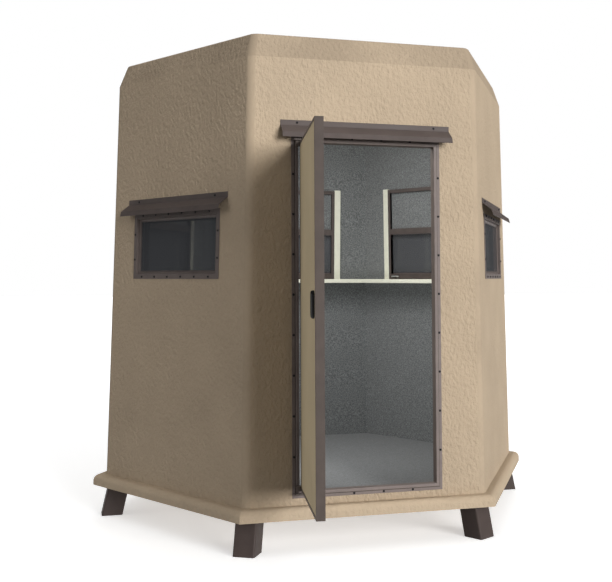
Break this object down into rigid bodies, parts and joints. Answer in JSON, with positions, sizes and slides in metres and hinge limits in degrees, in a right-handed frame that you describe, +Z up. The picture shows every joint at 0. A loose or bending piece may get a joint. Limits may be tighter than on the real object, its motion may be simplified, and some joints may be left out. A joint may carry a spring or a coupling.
{
  "type": "deer blind",
  "caption": "Six-sided moulded hunting hut on splayed leg stubs, with an outward-swinging door, glazed windows under bent awnings, a shelf and a carpet-lined cabin.",
  "frame": {"origin": "middle of the object's box at ground level, under the feet, with the door open as pictured", "axes": "+Z up, the door wall faces -Y, +X to the right seen from the door side"},
  "size_m": [2.4394, 2.7496, 2.374],
  "materials": {
    "shell_tan": "fine stucco gel coat",
    "frame_brown": "satin",
    "leg_brown": "satin",
    "window_glass": "smoke tint",
    "wall_carpet": "short pile",
    "floor_carpet": "short pile",
    "deck_wood": "plain plywood",
    "cream_paint": "painted",
    "latch_silver": "brushed",
    "handle_black": "satin"
  },
  "bodies": {
    "hut": {"front_wall_left": "shell_tan", "front_wall_right": "shell_tan", "front_wall_head": "shell_tan", "front_wall_base": "shell_tan", "front_right_wall": "shell_tan", "back_right_wall": "shell_tan", "back_wall": "shell_tan", "back_left_wall": "shell_tan", "front_left_wall": "shell_tan", "roof_cap": "shell_tan", "base_lip": "shell_tan", "floor_deck": "deck_wood", "floor_carpet": "floor_carpet", "wall_lining": "wall_carpet", "ceiling_lining": "wall_carpet", "leg_right": "leg_brown", "leg_back_right": "leg_brown", "leg_back_left": "leg_brown", "leg_left": "leg_brown", "leg_front_left": "leg_brown", "leg_front_right": "leg_brown", "door_jamb_left": "frame_brown", "door_jamb_right": "frame_brown", "door_head": "frame_brown", "door_sill": "frame_brown", "door_drip_cap": "frame_brown", "pivot_brackets": "frame_brown", "window_frames": "frame_brown", "window_sashes": "frame_brown", "window_glass": "window_glass", "window_tracks": "frame_brown", "sash_latches": "latch_silver", "window_awnings": "frame_brown", "shelves": "cream_paint", "window_posts": "cream_paint"},
    "door": {"door_panel": "shell_tan", "door_edge": "frame_brown", "door_handle": "handle_black", "door_pivots": "frame_brown"}
  },
  "joints": [
    {"name": "door_hinge", "type": "hinge", "parent": "hut", "child": "door", "pos_m": [-0.34, -0.68992, 1.07234], "axis": [0, -0.0245, -0.9997], "range_deg": [-97.1, 72.9]}
  ]
}
